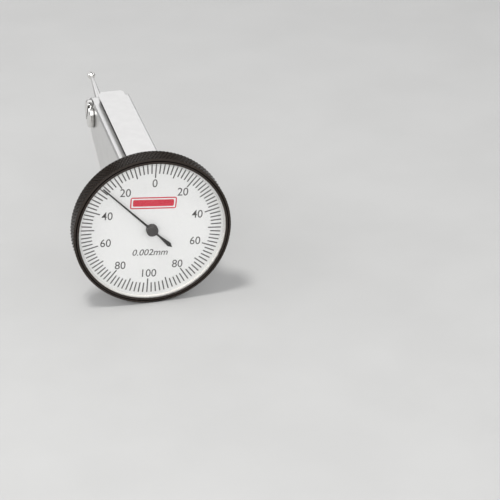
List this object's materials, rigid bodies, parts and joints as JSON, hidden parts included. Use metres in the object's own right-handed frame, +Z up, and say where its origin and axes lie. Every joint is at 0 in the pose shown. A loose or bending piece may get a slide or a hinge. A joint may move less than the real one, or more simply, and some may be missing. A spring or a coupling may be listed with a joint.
{
  "type": "dial indicator",
  "caption": "Lever-type dial indicator with a knurled black bezel, white dial, chrome body, dovetail rail and swivelling ball stylus.",
  "frame": {"origin": "middle of the top face of the dovetail rail", "axes": "+Y runs back along the body from the dial to the stylus, +Z is up out of the rail, +X is to the right when facing the dial"},
  "size_m": [0.0352, 0.0641, 0.0352],
  "materials": {
    "satin_chrome": "satin",
    "bright_chrome": "polished",
    "black_bezel": "satin black, knurled",
    "crystal": "clear",
    "dial_white": "matt white",
    "spacer_ivory": "matt",
    "brass": "satin",
    "steel": "ground",
    "ruby": "polished",
    "pointer_black": "satin",
    "hub_grey": "satin",
    "blued_steel": "blued"
  },
  "bodies": {
    "root": {"housing": "satin_chrome", "side_cover": "satin_chrome", "cover_screws": "steel", "case": "satin_chrome", "case_screws": "steel", "bezel_spring": "steel", "front_plate": "brass", "back_plate": "brass", "pillars": "brass", "plate_screws": "steel", "movement_screws": "steel", "front_jewels": "ruby", "back_jewels": "ruby", "hairspring": "blued_steel", "hairspring_stud": "brass", "pivot_screw_left": "bright_chrome", "pivot_screw_right": "bright_chrome", "pivot_bearings": "ruby"},
    "bezel_group": {"bezel": "black_bezel", "crystal": "crystal", "crystal_gasket": "spacer_ivory", "dial_plate": "dial_white", "dial_ring": "steel"},
    "pointer_group": {"pointer": "pointer_black", "pointer_hub": "hub_grey", "pointer_arbor": "steel", "centre_pinion": "steel", "hairspring_collet": "brass"},
    "second_group": {"second_arbor": "steel", "second_pinion": "steel", "second_wheel": "brass", "wheel_collet": "brass"},
    "sector_group": {"sector_arbor": "steel", "sector_gear": "brass", "sector_arm": "brass", "drive_pin": "steel"},
    "lever_group": {"pivot_shaft": "steel", "lever_arm": "steel", "lever_collar": "brass", "friction_washer": "brass"},
    "stylus_group": {"stylus_holder": "satin_chrome", "stylus_stem": "satin_chrome", "contact_ball": "bright_chrome"}
  },
  "joints": [
    {"name": "bezel_turn", "type": "hinge", "parent": "root", "child": "bezel_group", "pos_m": [0, -0.028, -0.0132], "axis": [0, 1, 0], "continuous": true},
    {"name": "lever_rock", "type": "hinge", "parent": "root", "child": "lever_group", "pos_m": [0, 0.0168, -0.0045], "axis": [1, 0, 0], "range_deg": [-0.7656, 0], "stiffness_Nm_per_rad": 0.05, "springref_deg": 4.58},
    {"name": "sector_swing", "type": "hinge", "parent": "root", "child": "sector_group", "pos_m": [0.00333, -0.024, -0.0081], "axis": [0, 1, 0], "range_deg": [0, 8]},
    {"name": "second_spin", "type": "hinge", "parent": "root", "child": "second_group", "pos_m": [0.004, -0.024, -0.01811], "axis": [0, 1, 0], "range_deg": [-72, 0]},
    {"name": "pointer_spin", "type": "hinge", "parent": "root", "child": "pointer_group", "pos_m": [0, -0.0255, -0.0132], "axis": [0, 1, 0], "range_deg": [0, 381]},
    {"name": "stylus_swivel", "type": "hinge", "parent": "lever_group", "child": "stylus_group", "pos_m": [-0.0021, 0.0168, -0.0045], "axis": [1, 0, 0], "range_deg": [-100, 16]}
  ],
  "couplings": [
    {"joint": "sector_swing", "follows": "lever_rock", "ratio": -10.406},
    {"joint": "second_spin", "follows": "lever_rock", "ratio": 93.655},
    {"joint": "pointer_spin", "follows": "lever_rock", "ratio": -496.37}
  ]
}
